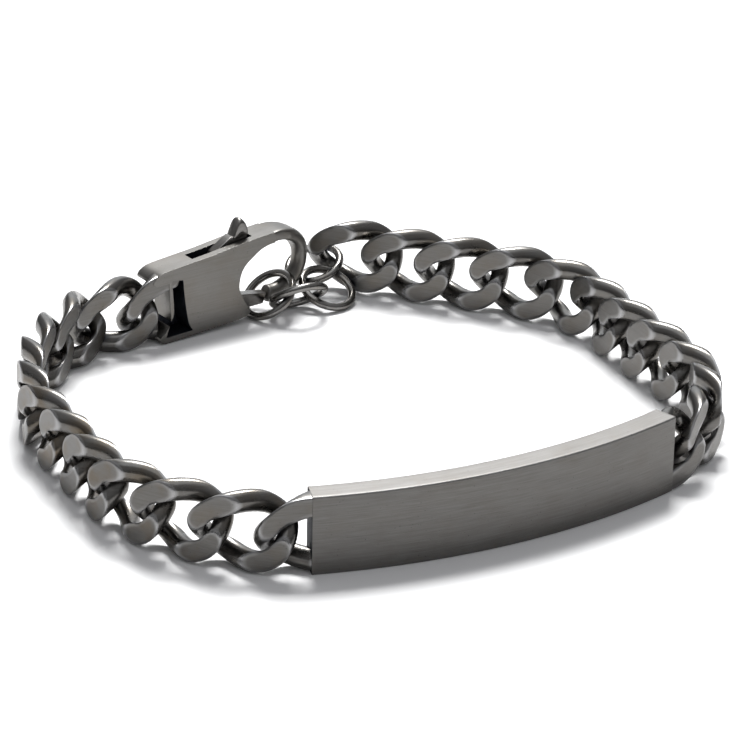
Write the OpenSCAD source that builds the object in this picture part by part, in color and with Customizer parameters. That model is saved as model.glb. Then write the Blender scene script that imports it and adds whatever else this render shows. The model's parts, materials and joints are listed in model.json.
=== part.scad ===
// Identity bracelet, closed and standing on its lower edge: a curved name plate,
// twenty-two ground curb links, a flat lobster clasp with a sprung lever and four wire rings.
// Millimetres, +Z up. The plate faces -Y; left and right are those of a viewer facing it.

/* [Band] */
// Height of the plate and of every link
band_h = 8; // [7.4:0.1:8.8]
// Radius of the round wire the links are made of
wire_r = 0.95; // [0.8:0.01:1.0]
// Half length of a link, to the middle of its wire
link_half = 4.3; // [4.1:0.1:4.8]
// Thickness of a link after grinding
link_t = 2.5; // [2.2:0.1:2.8]
// Play between neighbouring links, end to end
link_play = 0.6; // [0.4:0.05:0.8]
// How far a link's wire leaves its middle plane, for each unit of wire radius
weave_ratio = 1.52; // [1.45:0.01:1.6]
// Widening of the wire along a link's sides, as a share of its radius
link_spread = 0.18; // [0.05:0.01:0.2]

/* [Plate] */
// Length of the plate along its curve
plate_len = 39.6; // [36:0.5:44]
// Thickness of the plate
plate_t = 2.6; // [2.6:0.1:3.2]
// Half of the angle through which the plate curves
plate_half = 17; // [12:1:22]
// Bevel along the plate's edges
plate_bevel = 0.3; // [0.1:0.05:0.5]

/* [Clasp] */
// Thickness of the clasp's body
clasp_t = 3.2; // [3.0:0.1:3.6]
// Heading of the clasp, turned from the direction of the plate
clasp_turn = 7; // [4:0.5:9]
// Angle by which the clasp rises from its tail to its hook
clasp_rise = 3.8; // [2.8:0.1:5]
// Radius of the hook, to the middle of its bar
hook_radius = 3.8; // [3.6:0.1:4.2]
// Height of the hook's crown above its centre, to the middle of its bar
hook_crown = 3.2; // [3.1:0.05:3.3]
// Half height of the slab at the hook's crown
hook_slab = 0.6; // [0.5:0.05:0.7]
// Half width of the hook's bar at its outer side
hook_bar = 0.85; // [0.7:0.05:0.95]
// Reach of the lever's gate from its pivot
gate_reach = 6.2; // [6.0:0.05:6.4]
// Thickness of the lever
lever_t = 1.2; // [1.0:0.05:1.4]
// Radius of the pin the lever turns on
pin_r = 0.5; // [0.4:0.05:0.6]
// Clearance round moving faces
fit_gap = 0.1; // [0.05:0.01:0.15]
// Thickness of the thumb tab above the clasp
tab_t = 1.4; // [1.3:0.1:2.0]

/* [Rings] */
// Radius of a ring, to the middle of its wire
ring_r = 2.87; // [2.8:0.01:3.0]
// Radius of a ring's wire
ring_wire = 0.43; // [0.35:0.01:0.45]

/* [Hidden] */

steel = [0.44, 0.43, 0.42];
bright = [0.55, 0.55, 0.56];

// Centre of the loop's outer box, taken from every piece so that it lies on the vertical axis
loop_centre = [0.151, 31.96];

// Half height of a link, to the middle of its wire
link_rise = band_h / 2 - wire_r * (1 + link_spread);
// Greatest distance of the wire's middle line from the link's middle plane
weave = wire_r * weave_ratio;
// Distance between the centres of neighbouring links
pitch = 2 * (link_half - wire_r) - link_play;
// Radius of the plate's middle surface
plate_r = plate_len / 2 / (plate_half * PI / 180);

// Along each side, from the plate: distance to the next link in pitches, then the turn into it
left_steps = [1.043, 1.025, 1.012, 1.033, 1.022, 0.997, 0.955, 0.970, 1.008, 1.003, 0.994, 0.837];
left_turns = [26.5, 14.7, 16.5, 16.0, 2.5, 0.7, 15.3, 9.4, 16.8, 10.3, 28.5, 0];
right_steps = [1.022, 0.998, 0.999, 0.999, 1.018, 1.032, 1.033, 1.033, 1.033, 0.989, 0.969];
right_turns = [18.4, 25.3, 21.0, 7.0, -2.4, -0.1, 19.8, 21.3, 4.9, -0.2, 7.8];

// Sections along a link's wire, and sides of its section
link_sections = 16;
wire_sides = 6;

function unit(v) = v / norm(v);

// Middle line of a curb link: an oval twisted so that opposite quarters stand out on each face
function wire_mid(t) = [link_half * cos(t), link_rise * sin(t), -weave * sin(2 * t)];
function wire_along(t) = unit([-link_half * sin(t), link_rise * cos(t), -2 * weave * cos(2 * t)]);
function wire_out(t) = unit(cross(wire_along(t), [0, 0, 1]));

// The wire's section at t, widest along the link's sides and ground flat on both faces
function ground(p) = [p[0], p[1], max(-link_t / 2, min(link_t / 2, p[2]))];
function wire_half(t) = wire_r * (1 + link_spread * pow(sin(t), 2));
function wire_section(t, fuller = 0) =
    let (across = wire_half(t) * wire_out(t), through = wire_r * cross(wire_out(t), wire_along(t)))
    [for (j = [0:wire_sides - 1])
        let (s = j * 360 / wire_sides, front = sin(s) > 0 ? 1 + fuller : 1)
        ground(wire_mid(t) + across * cos(s) + through * front * sin(s))];

// Skin over a row of sections, closed into a loop or capped at both ends
module skin(sections, closed) {
    n = len(sections);
    m = len(sections[0]);
    sides = [for (i = [0:n - (closed ? 1 : 2)])
        for (j = [0:m - 1])
            let (next = (i + 1) % n, up = (j + 1) % m)
            each [[i * m + j, i * m + up, next * m + up], [i * m + j, next * m + up, next * m + j]]];
    caps = closed ? [] : [[for (j = [m - 1:-1:0]) j], [for (j = [0:m - 1]) (n - 1) * m + j]];
    polyhedron([for (section = sections) each section], concat(sides, caps), convexity = 6);
}

module curb_link() {
    skin([for (i = [0:link_sections - 1]) wire_section(i * 360 / link_sections)], true);
}

// Half a link from t0 to t1, its ends carried on into the piece it is soldered to. The strand
// that starts at t0 is filled out to the front over its first degrees, level with that piece.
solder = 15;
shoulder = 1.5;
shoulder_turn = 30;
half_sections = 14;
module half_link(t0, t1) {
    skin([for (i = [0:half_sections])
        let (t = t0 - solder + (t1 - t0 + 2 * solder) * i / half_sections)
        wire_section(t, shoulder * max(0, min(1, 1 - (t - t0) / shoulder_turn)))], false);
}

// Place and heading of the i-th link along one side; i = -1 is the plate's own end
function walk(side, steps, turns, i) = i < 0
    ? [side * plate_r * sin(plate_half), plate_r * (1 - cos(plate_half)), plate_half]
    : let (last = walk(side, steps, turns, i - 1),
        turned = last[2] + turns[i],
        half = pitch * steps[i] / 2)
    [last[0] + side * half * (cos(last[2]) + cos(turned)),
        last[1] + half * (sin(last[2]) + sin(turned)),
        turned];

module stand(place, yaw, lift = 0) {
    translate([place[0] - loop_centre[0], place[1] - loop_centre[1], band_h / 2 + lift])
        rotate([0, 0, yaw])
            rotate([90, 0, 0])
                children();
}

// The left side runs free from the plate to the clasp's tail
function left_place(i) = walk(-1, left_steps, left_turns, i);
module link_left(i) {
    place = left_place(i);
    color(steel) stand(place, -place[2]) curb_link();
}

// The clasp's own frame: X from its tail to its hook, Y up, Z towards the inside of the loop
tail = left_place(11);
tail_lift = 0.02;
module clasp_frame() {
    stand(tail, clasp_turn, tail_lift) rotate([0, 0, clasp_rise]) children();
}
function beside_clasp(p) =
    let (x = p[0] * cos(clasp_rise) - p[1] * sin(clasp_rise))
    [tail[0] + x * cos(clasp_turn) + p[2] * sin(clasp_turn),
        tail[1] + x * sin(clasp_turn) - p[2] * cos(clasp_turn),
        tail_lift + p[0] * sin(clasp_rise) + p[1] * cos(clasp_rise)];

// The last right link's far end in the clasp's frame, and how the last two links lift and lean
last_end = [22.42, -1.15, -2.2];
last = len(right_turns) - 1;
lift_share = [0.24, 1];
lean = [0.9, 2.6];
last_heading = walk(1, right_steps, right_turns, last)[2];
last_goal = beside_clasp(last_end) - link_half * [cos(last_heading), sin(last_heading), 0];

// The right side runs from the plate to that place; what is over is shared out along it
function right_place(i) =
    let (free = walk(1, right_steps, right_turns, i),
        end = walk(1, right_steps, right_turns, last),
        share = (i + 1) / (last + 1))
    [free[0] + (last_goal[0] - end[0]) * share, free[1] + (last_goal[1] - end[1]) * share, free[2]];
module link_right(i) {
    place = right_place(i);
    end_pair = i - last + 1;
    lift = end_pair < 0 ? 0 : last_goal[2] * lift_share[end_pair];
    tip = end_pair < 0 ? 0 : lean[end_pair];
    color(steel) stand(place, place[2], lift) rotate([0, 0, tip]) curb_link();
}

// Name plate: a bevelled bar bent to the wrist, with half a link soldered on each end
module plate_bar() {
    inner = plate_r - plate_t / 2;
    outer = plate_r + plate_t / 2;
    translate([-loop_centre[0], plate_r - loop_centre[1], 0])
        rotate([0, 0, -90 - plate_half])
            rotate_extrude(angle = 2 * plate_half, $fn = 360)
                polygon([[inner + plate_bevel, 0], [outer - plate_bevel, 0], [outer, plate_bevel],
                    [outer, band_h - plate_bevel], [outer - plate_bevel, band_h],
                    [inner + plate_bevel, band_h], [inner, band_h - plate_bevel], [inner, plate_bevel]]);
}

module id_plate() {
    left_end = walk(-1, left_steps, left_turns, -1);
    right_end = walk(1, right_steps, right_turns, -1);
    color(steel) {
        plate_bar();
        stand(left_end, -plate_half) half_link(90, 270);
        stand(right_end, plate_half) half_link(-90, 90);
    }
}

// Clasp: places of its pivot, mouth and hook in its own frame
pivot = [8.0, -0.4];
hook_centre = [14.9, 0.9];
hook_tip = 0.95;
hook_start = 100;
hook_end = -108;
hook_sections = 20;
hook_sides = 12;
body_edge = band_h / 2 - 0.02;
side_wall = (clasp_t - lever_t) / 2 - fit_gap;

function arc(centre, r, a0, a1, n) =
    [for (i = [0:n]) centre + r * [cos(a0 + (a1 - a0) * i / n), sin(a0 + (a1 - a0) * i / n)]];

// Outline of the body: its lower edge, the mouth's edge up to the crown, and the upper edge with
// the strap that carries on into the tail
crown = hook_centre[1] + hook_crown;
crown_x = hook_centre[0] - 0.2;
body_left = 1.1;
module body_outline() {
    polygon([[body_left, 2.1 - body_edge], [-0.3, 0.9 - body_edge], [-0.3, 0.4 - body_edge],
        [0.2, -body_edge], [9.6, -body_edge], [11.1, 0.4 - body_edge], [10.3, -1.9], [9.85, -0.6],
        [9.95, 0.5], [10.35, 1.45], [10.95, 2.1], [11.8, 2.65], [12.8, crown - hook_slab - 0.3],
        [13.8, crown - hook_slab - 0.05], [crown_x, crown - hook_slab], [crown_x, crown + hook_slab - 0.01],
        [12.2, crown + hook_slab - 0.05],
        [9.3, 4.5], [6.2, 4.3], [2.7, 4.2], [0.6, 4.1], [-0.4, 3.75], [-0.8, 3.2],
        [-0.4, 2.75], [body_left, 2.75]]);
}

// Half width and half thickness of the hook's bar at angle t, from its root round to its tip
function hook_width(t) = t > 0 ? lookup(t, [[0, hook_bar], [60, 0.7], [90, hook_slab]])
    : lookup(-t, [[0, hook_bar], [60, hook_bar], [105, hook_tip]]);
function hook_depth(t) = t > 0 ? lookup(t, [[0, hook_bar], [30, 1.1], [60, 1.45], [90, clasp_t / 2 - 0.02]])
    : lookup(-t, [[0, hook_bar], [105, hook_tip]]);

// The bar's section: a slab with round corners at the crown, a round bar further on
function hook_round(t) = t > 0 ? lookup(t, [[0, 1], [40, 0.8], [90, 0.4]]) : 1;
function bent(x, power) = sign(x) * pow(abs(x), power);
function hook_section(t) =
    let (high = t > 0 ? hook_crown : hook_radius,
        at = hook_centre + [hook_radius * cos(t), high * sin(t)],
        out = unit([cos(t) / hook_radius, sin(t) / high]))
    [for (j = [0:hook_sides - 1])
        let (s = j * 360 / hook_sides,
            p = at + hook_width(t) * bent(cos(s), hook_round(t)) * out)
        [p[0], p[1], -hook_depth(t) * bent(sin(s), hook_round(t))]];

module hook() {
    difference() {
        skin([for (i = [0:hook_sections]) hook_section(hook_start + (hook_end - hook_start) * i / hook_sections)],
            false);
        translate([pivot[0], pivot[1], -clasp_t]) {
            intersection() {
                cylinder(h = 2 * clasp_t, r = gate_reach + fit_gap, $fn = 96);
                translate([0, -2 * gate_reach, 0]) cube([2 * gate_reach, 2 * gate_reach, 2 * clasp_t]);
            }
        }
    }
}

// Space for the lever: open above the body for the tab and into the mouth for the gate
module lever_space() {
    linear_extrude(lever_t + 2 * fit_gap, center = true)
        polygon([[4.5, 8], [4.7, 3.2], [6.1, 0.6], [6.1, -1.6], [7.4, -2.45], [10.6, -3.75], [12, -3.95],
            [12, 0.4], [10.2, 0.6], [10.3, 2.1], [11.2, 3.0], [12.3, 4.3], [12.3, 8]]);
}

// Place of the tail's loop: into the body's end, and forward to bring it level with the inner face
tail_inset = 0.8;
tail_forward = 0.3;

// Dark slot in the inner face, flared towards its lower end
slot_floor = 0.9;
module face_slot() {
    translate([0, 0, -slot_floor])
        linear_extrude(clasp_t)
            polygon([[1.5, 2.9], [2.85, 2.6], [2.95, 0.1], [3.2, -2.3], [3.65, -3.4], [0.35, -3.3],
                [1.1, -1.6], [1.5, -0.6]]);
}

module clasp_body() {
    color(steel) clasp_frame() {
        difference() {
            union() {
                linear_extrude(clasp_t, center = true) body_outline();
                translate([tail_inset, 0, tail_forward]) half_link(90, 270);
                hook();
            }
            lever_space();
            face_slot();
        }
        translate([pivot[0], pivot[1], (side_wall - clasp_t) / 2])
            cylinder(h = clasp_t - side_wall, r = pin_r, $fn = 32);
    }
}

// Lever: pivot eye, gate and the arm up to the thumb tab
eye_r = 1.45;
module clasp_lever() {
    color(bright) clasp_frame() {
        difference() {
            union() {
                linear_extrude(lever_t, center = true) {
                    translate(pivot) circle(r = eye_r, $fn = 48);
                    polygon(concat([pivot, [8.2, -1.84], [10.9, -3.45]],
                        arc(pivot, gate_reach, -31, -19.5, 4), [[10.6, -1.75], [9.4, -0.6]]));
                    polygon([pivot, [9.35, -0.1], [9.6, 1.8], [10.6, 2.8], [11.7, 4.2], [11.8, 5.2],
                        [9.7, 5.2], [8.6, 4.6], [7.5, 4.0], [7.1, 3.3], [6.65, 0.2]]);
                }
                linear_extrude(tab_t, center = true)
                    polygon([[9.85, 4.9], [11.95, 4.95], [11.95, 5.6], [11.8, 6.3], [11.4, 6.8],
                        [11.0, 6.85], [10.6, 6.5], [10.2, 5.7]]);
            }
            translate([pivot[0], pivot[1], -clasp_t / 2])
                cylinder(h = clasp_t, r = pin_r + fit_gap, $fn = 32);
        }
    }
}

// Rings in the clasp's frame: place, then turn about the vertical and lean of each ring's axis
ring_place = [[14.01, -2.68, 0.80], [16.43, -2.79, 2.84], [20.91, -3.63, 1.78], [21.96, -2.41, -2.04]];
ring_pose = [[124.7, 88.2], [-101.5, 50.9], [80.7, 63.8], [107.7, 84.1]];
module jump_ring(i) {
    color(bright)
        clasp_frame()
            translate(ring_place[i])
                rotate([0, ring_pose[i][1], ring_pose[i][0]])
                    rotate_extrude($fn = 64)
                        translate([ring_r, 0])
                            circle(r = ring_wire, $fn = 24);
}

id_plate();
link_left(0);  // link_left_01
link_left(1);  // link_left_02
link_left(2);  // link_left_03
link_left(3);  // link_left_04
link_left(4);  // link_left_05
link_left(5);  // link_left_06
link_left(6);  // link_left_07
link_left(7);  // link_left_08
link_left(8);  // link_left_09
link_left(9);  // link_left_10
link_left(10);  // link_left_11
link_right(0);  // link_right_01
link_right(1);  // link_right_02
link_right(2);  // link_right_03
link_right(3);  // link_right_04
link_right(4);  // link_right_05
link_right(5);  // link_right_06
link_right(6);  // link_right_07
link_right(7);  // link_right_08
link_right(8);  // link_right_09
link_right(9);  // link_right_10
link_right(10);  // link_right_11
clasp_body();
clasp_lever();
jump_ring(0);  // jump_ring_1
jump_ring(1);  // jump_ring_2
jump_ring(2);  // jump_ring_3
jump_ring(3);  // jump_ring_4
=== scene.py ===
"""Looks of the identity bracelet: smooth links, a brushed plate, a bevelled clasp and its rings.

Every piece is a surface worked out over a grid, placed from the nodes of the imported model.
Lengths are metres. A link's own frame has X along the chain, Y up and Z out of the loop.
"""
import json
import math

import bpy
import numpy as np
from mathutils import Matrix, Vector


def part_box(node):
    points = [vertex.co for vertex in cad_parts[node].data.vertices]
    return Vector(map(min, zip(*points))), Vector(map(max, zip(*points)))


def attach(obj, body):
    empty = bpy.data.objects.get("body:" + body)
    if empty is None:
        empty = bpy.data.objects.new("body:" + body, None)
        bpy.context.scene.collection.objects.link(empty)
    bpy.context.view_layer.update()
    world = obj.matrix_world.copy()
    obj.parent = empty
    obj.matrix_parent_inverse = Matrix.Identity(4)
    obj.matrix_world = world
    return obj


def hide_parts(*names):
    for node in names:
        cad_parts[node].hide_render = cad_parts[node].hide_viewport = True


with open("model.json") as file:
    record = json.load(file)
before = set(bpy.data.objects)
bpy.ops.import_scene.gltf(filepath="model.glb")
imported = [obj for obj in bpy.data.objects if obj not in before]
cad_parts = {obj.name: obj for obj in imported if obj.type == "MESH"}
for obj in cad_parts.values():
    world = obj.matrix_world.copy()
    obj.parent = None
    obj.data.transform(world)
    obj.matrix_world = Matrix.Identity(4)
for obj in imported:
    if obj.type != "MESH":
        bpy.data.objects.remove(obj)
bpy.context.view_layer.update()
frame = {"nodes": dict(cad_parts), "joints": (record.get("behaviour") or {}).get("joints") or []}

bl_info = {
    "name": "Identity bracelet",
    "version": (1, 0, 0),
    "blender": (4, 5, 0),
    "location": "3D View > Sidebar > Bracelet",
    "description": "Dresses a curb chain bracelet with a name plate and a lever clasp",
    "category": "Object",
}

MM = 0.001
SIDES = ("left", "right")
LINKS_PER_SIDE = 11
RINGS = 4
# Of the four masks, recess lays painted shade where other wires come close and edge lays a painted
# highlight along edges; ground and stain are the steel's own finish.
MASKS = ("ground", "recess", "edge", "stain")


def length_setting(name, description, default):
    """A length, given in millimetres."""
    return bpy.props.FloatProperty(
        name=name, description=description, default=default * MM, unit="LENGTH")


def angle_setting(name, description, default):
    """An angle, given in degrees."""
    return bpy.props.FloatProperty(
        name=name, description=description, default=math.radians(default), subtype="ANGLE")


def number_setting(name, description, default):
    """A plain number."""
    return bpy.props.FloatProperty(name=name, description=description, default=default)


def colour_setting(name, description, default):
    """A colour."""
    return bpy.props.FloatVectorProperty(
        name=name, description=description, default=default, subtype="COLOR", size=3)


class LinkSettings(bpy.types.PropertyGroup):
    half_length: length_setting("Half length", "Half length of a link, to the middle of its wire", 4.3)
    half_height: length_setting(
        "Half height", "Half height of a link, to the middle of its wire", 2.879)
    wire: length_setting("Wire radius", "Radius of the round wire", 0.95)
    spread: number_setting(
        "Spread", "Widening of the wire along a link's sides, as a share of its radius", 0.18)
    weave: length_setting(
        "Weave", "Greatest distance of the wire's middle from the link's plane", 1.444)
    ground_half: length_setting(
        "Ground half thickness", "Half of the distance between the ground faces", 1.25)
    crease: length_setting("Crease", "How far the edge of a ground face is softened", 0.24)
    along: bpy.props.IntProperty(
        name="Steps along", description="Grid steps along a link's wire", default=144, min=24)


class PlateSettings(bpy.types.PropertyGroup):
    length: length_setting("Length", "Length of the plate along its curve", 39.6)
    thickness: length_setting("Thickness", "Thickness of the plate", 2.6)
    height: length_setting("Height", "Height of the plate", 8)
    half_angle: angle_setting("Half angle", "Half of the angle through which the plate curves", 17)
    edge: length_setting("Edge radius", "Rounding of the plate's long edges", 0.2)


class ClaspSettings(bpy.types.PropertyGroup):
    thickness: length_setting("Thickness", "Thickness of the clasp's body", 3.2)
    lever: length_setting("Lever thickness", "Thickness of the lever between the walls", 1.2)
    tab: length_setting("Tab thickness", "Thickness of the thumb tab", 1.4)
    rise: angle_setting("Rise", "Angle by which the clasp rises from its tail to its hook", 3.8)
    bevel: length_setting("Bevel", "Bevel round the edges of the body", 0.14)


class RingSettings(bpy.types.PropertyGroup):
    radius: length_setting("Radius", "Radius of a ring, to the middle of its wire", 2.87)
    wire: length_setting("Wire radius", "Radius of a ring's wire", 0.43)


class FinishSettings(bpy.types.PropertyGroup):
    steel: colour_setting("Steel", "Colour of the brushed steel", (0.125, 0.119, 0.109))
    link: colour_setting("Link steel", "Colour of the ground links", (0.092, 0.087, 0.079))
    # Bright steel is the light end of the random tone and the colour of the painted highlight along
    # edges.
    bright: colour_setting("Bright steel", "Colour of rubbed edges", (0.36, 0.36, 0.365))
    # Shade is the colour of the painted shade in recesses and between wires, and of the dark pits.
    shade: colour_setting("Shade", "Colour of shaded recesses", (0.012, 0.014, 0.02))
    stain: colour_setting("Stain", "Colour of the faint brown stains", (0.11, 0.088, 0.062))
    ring: colour_setting("Ring steel", "Colour of the rings", (0.13, 0.123, 0.112))
    floor: colour_setting("Floor", "Colour of the floor", (0.9, 0.9, 0.9))


class StageSettings(bpy.types.PropertyGroup):
    azimuth: angle_setting(
        "Azimuth", "Camera's angle round the bracelet, from the plate's front", -29.61)
    elevation: angle_setting("Elevation", "Camera's angle above the floor", 23.94)
    roll: angle_setting("Roll", "Turn of the picture, clockwise", 1.21)
    place: bpy.props.FloatVectorProperty(
        name="Place", description="Camera's place, from the middle of the plate's curve",
        default=(-0.1730, -0.2788, 0.1623), subtype="TRANSLATION", unit="LENGTH")
    lens: number_setting("Lens", "Focal length, in millimetres of a 36 mm sensor", 185.5)
    key: number_setting("Key light", "Power of the light above and behind the bracelet, in watts", 5.6)
    panel: number_setting("Panel", "Power of the low panel that the upper faces reflect, in watts", 0.8)
    canopy: number_setting(
        "Canopy", "Power of the panel overhead that the round wires reflect, in watts", 0.95)
    sky: number_setting("Sky", "Strength of the surroundings overhead", 0.42)


SETTINGS = {
    "bracelet_link": LinkSettings,
    "bracelet_plate": PlateSettings,
    "bracelet_clasp": ClaspSettings,
    "bracelet_ring": RingSettings,
    "bracelet_finish": FinishSettings,
    "bracelet_stage": StageSettings,
}


def node_points(node):
    """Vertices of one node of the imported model, as an array of places."""
    mesh = frame["nodes"][node].data
    points = np.empty(len(mesh.vertices) * 3)
    mesh.vertices.foreach_get("co", points)
    return points.reshape(-1, 3)


def node_axes(node):
    """Centre and main axes of a node. The axes are the directions of largest to smallest spread
    of its vertices, which for a link are its length, its height and its thickness."""
    points = node_points(node)
    if node.startswith("jump"):
        centre = (points.min(axis=0) + points.max(axis=0)) / 2
    else:
        centre = points.mean(axis=0)
    spread, axes = np.linalg.eigh(np.cov((points - centre).T))
    axes = axes[:, np.argsort(-spread)]
    axes[:, 2] = np.cross(axes[:, 0], axes[:, 1])
    return centre, axes


def plate_origin():
    """Point of the floor under the middle of the plate's curve, from the plate's box."""
    low, high = (np.array(corner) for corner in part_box("id_plate"))
    return np.array([(low[0] + high[0]) / 2, low[1] + plate().thickness / 2, 0])


def clasp_axes():
    """Origin and axes of the clasp: X from its tail to its hook, Y up, Z into the loop. Z is the
    axis of the lever's hinge, and X is the level direction across it, raised by the clasp's rise."""
    joint = frame["joints"][0]
    inward = np.array(joint["axis"], float)
    inward /= np.linalg.norm(inward)
    if inward[1] > 0:
        inward = -inward
    level = np.cross([0, 0, 1], inward)
    rise = clasp().rise
    along = math.cos(rise) * level + math.sin(rise) * np.array([0, 0, 1])
    up = np.cross(inward, along)
    axes = np.stack([along, up, inward], axis=1)
    return np.array(joint["pos_m"], float) - axes @ np.array([*PIVOT, 0]), axes


def link():
    return bpy.context.scene.bracelet_link


def plate():
    return bpy.context.scene.bracelet_plate


def clasp():
    return bpy.context.scene.bracelet_clasp


def ring():
    return bpy.context.scene.bracelet_ring


def finish():
    return bpy.context.scene.bracelet_finish


def stage():
    return bpy.context.scene.bracelet_stage


def grid_faces(rows, columns, close_rows):
    """Quads of a grid whose columns run round a section, and whose rows are closed into a loop
    when close_rows is true."""
    i = np.arange(rows if close_rows else rows - 1)[:, None]
    j = np.arange(columns)[None, :]
    a, b = i * columns, (i + 1) % rows * columns
    k = (j + 1) % columns
    return np.stack(np.broadcast_arrays(a + j, b + j, b + k, a + k), axis=-1).reshape(-1, 4)


def volume_sign(points, triangles):
    """Sign of the volume that the triangles enclose: the sum of each one's corner product about
    the mean point."""
    first, second, third = (points - points.mean(axis=0))[triangles].transpose(1, 0, 2)
    return math.copysign(1, np.einsum("ij,ij->i", first, np.cross(second, third)).sum())


class Shell:
    """Parts of one piece: places, faces, map and masks, gathered before the mesh is made."""

    def __init__(self):
        self.points, self.faces, self.maps, self.masks = [], [], [], []
        self.count = 0

    def add(self, points, flat, masks, closed):
        """Adds a swept surface. points is rows x columns x 3, flat is the same with 2 numbers
        for the map, and masks the same with 4 (ground, recess, edge, stain). An open sweep gets
        a point in the middle of each end, joined to the end's section."""
        rows, columns = points.shape[:2]
        faces = grid_faces(rows, columns, closed)
        places, uv, mask = points.reshape(-1, 3), flat.reshape(-1, 2), masks.reshape(-1, 4)
        triangles = np.empty((0, 3), int)
        if not closed:
            ends = points[[0, -1]].mean(axis=1)
            places = np.vstack([places, ends])
            uv = np.vstack([uv, flat[[0, -1]].mean(axis=1)])
            mask = np.vstack([mask, masks[[0, -1]].mean(axis=1)])
            j = np.arange(columns)
            k = (j + 1) % columns
            base, top = rows * columns, rows * columns + 1
            last = (rows - 1) * columns
            triangles = np.vstack([
                np.stack([np.full(columns, base), j, k], axis=1),
                np.stack([np.full(columns, top), last + k, last + j], axis=1)])
        whole = np.vstack([faces[:, [0, 1, 2]], faces[:, [0, 2, 3]], triangles])
        if volume_sign(places, whole) < 0:
            faces, triangles = faces[:, ::-1], triangles[:, ::-1]
        self.points.append(places)
        self.maps.append(uv)
        self.masks.append(mask)
        self.faces += (faces + self.count).tolist() + (triangles + self.count).tolist()
        self.count += len(places)

    def mesh(self, name):
        """Blender mesh of all the parts, smooth, with its map and its four masks."""
        mesh = bpy.data.meshes.new(name)
        mesh.from_pydata(np.vstack(self.points).tolist(), [], self.faces, shade_flat=False)
        corner = np.empty(len(mesh.loops), int)
        mesh.loops.foreach_get("vertex_index", corner)
        uv = mesh.uv_layers.new(name="UVMap")
        uv.data.foreach_set("uv", np.vstack(self.maps)[corner].ravel())
        masks = np.vstack(self.masks)
        for k, label in enumerate(MASKS):
            layer = mesh.attributes.new(label, "FLOAT", "POINT")
            layer.data.foreach_set("value", np.ascontiguousarray(masks[:, k]))
        return mesh


def place_piece(name, mesh, body, slot, *nodes):
    """Puts a finished mesh into the scene, riding on a body and standing for the given nodes."""
    piece = bpy.data.objects.new(name, mesh)
    bpy.context.scene.collection.objects.link(piece)
    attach(piece, body)
    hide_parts(*nodes)
    return piece


# Distance over which another wire darkens a surface with painted shade
RECESS_REACH = 0.8 * MM
# How much fuller a half link is where it is soldered, and the turn over which that fades
SHOULDER = 1.5
SHOULDER_TURN = math.radians(30)
# How far a half link runs on into the plate, and the grid steps along it
SOLDER_TURN = math.radians(15)
HALF_STEPS = 90


def wire_middle(t):
    """Middle line of a link at angles t: an oval, length by the cosine and height by the sine,
    pushed out of its plane by minus the sine of twice the angle."""
    s = link()
    height = s.half_height * np.sin(t)
    return np.stack([s.half_length * np.cos(t), height, -s.weave * np.sin(2 * t)], axis=-1)


def wire_frames(t):
    """Middle line with its direction, the level direction across it, and the third direction."""
    s = link()
    height = s.half_height * np.cos(t)
    along = np.stack([-s.half_length * np.sin(t), height, -2 * s.weave * np.cos(2 * t)], axis=-1)
    along /= np.linalg.norm(along, axis=-1, keepdims=True)
    out = np.cross(along, [0, 0, 1.0])
    out /= np.linalg.norm(out, axis=-1, keepdims=True)
    return wire_middle(t), out, np.cross(out, along)


def spaced(start, end, count):
    """Evenly spaced columns from start up to, but without, end, one row for each start."""
    share = np.arange(count) / count
    return start[:, None] + (end - start)[:, None] * share


def wire_surface(t, fuller=0.0):
    """Surface of a link's wire: a circle of the wire's radius carried along the middle line, widened
    across the link by the spread times the squared sine of t, then ground flat where it stands
    out past half the ground thickness. The circle's columns gather at the edges of the ground
    faces, which a parabola rounds over the crease on each side. fuller is how much further than
    its radius the wire reaches to the front at each t. Returns the points and masks that are 1
    on the ground faces and on their edges."""
    s = link()
    middle, out, side = wire_frames(t)
    fuller = np.broadcast_to(1 + fuller, t.shape)
    reach = s.wire * side[:, 2]

    def angle(height, limit):
        share = (height - middle[:, 2]) / (reach * (fuller if height > 0 else 1))
        return np.arcsin(np.clip(share, -limit, limit))

    soft, flat = s.ground_half - s.crease, s.ground_half + s.crease
    top_soft, top_flat = angle(soft, 0.97), angle(flat, 0.985)
    low_soft, low_flat = angle(-soft, 0.97), angle(-flat, 0.985)
    turn = math.pi
    around = np.hstack([
        spaced(low_soft, top_soft, 8), spaced(top_soft, top_flat, 3),
        spaced(top_flat, turn - top_flat, 4), spaced(turn - top_flat, turn - top_soft, 3),
        spaced(turn - top_soft, turn - low_soft, 8), spaced(turn - low_soft, turn - low_flat, 3),
        spaced(turn - low_flat, 2 * turn + low_flat, 4),
        spaced(2 * turn + low_flat, 2 * turn + low_soft, 3)])
    wide = 1 + s.spread * np.sin(t)[:, None] ** 2
    through = np.sin(around) * np.where(np.sin(around) > 0, fuller[:, None], 1)
    points = middle[:, None] + s.wire * (
        (wide * np.cos(around))[..., None] * out[:, None] + through[..., None] * side[:, None])
    raw = np.abs(points[..., 2])
    over = np.clip(raw - s.ground_half + s.crease, 0, None)
    held = np.where(over < 2 * s.crease, raw - over ** 2 / (4 * s.crease), s.ground_half)
    points[..., 2] = np.sign(points[..., 2]) * held
    ground = np.clip((over - s.crease) / s.crease, 0, 1)
    # The edge mask marks the crease of each ground face, where a painted highlight is laid.
    edge = np.clip(1 - np.abs(over - s.crease) / (1.6 * s.crease), 0, 1) * (over > 0)
    return points, ground, edge


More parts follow.
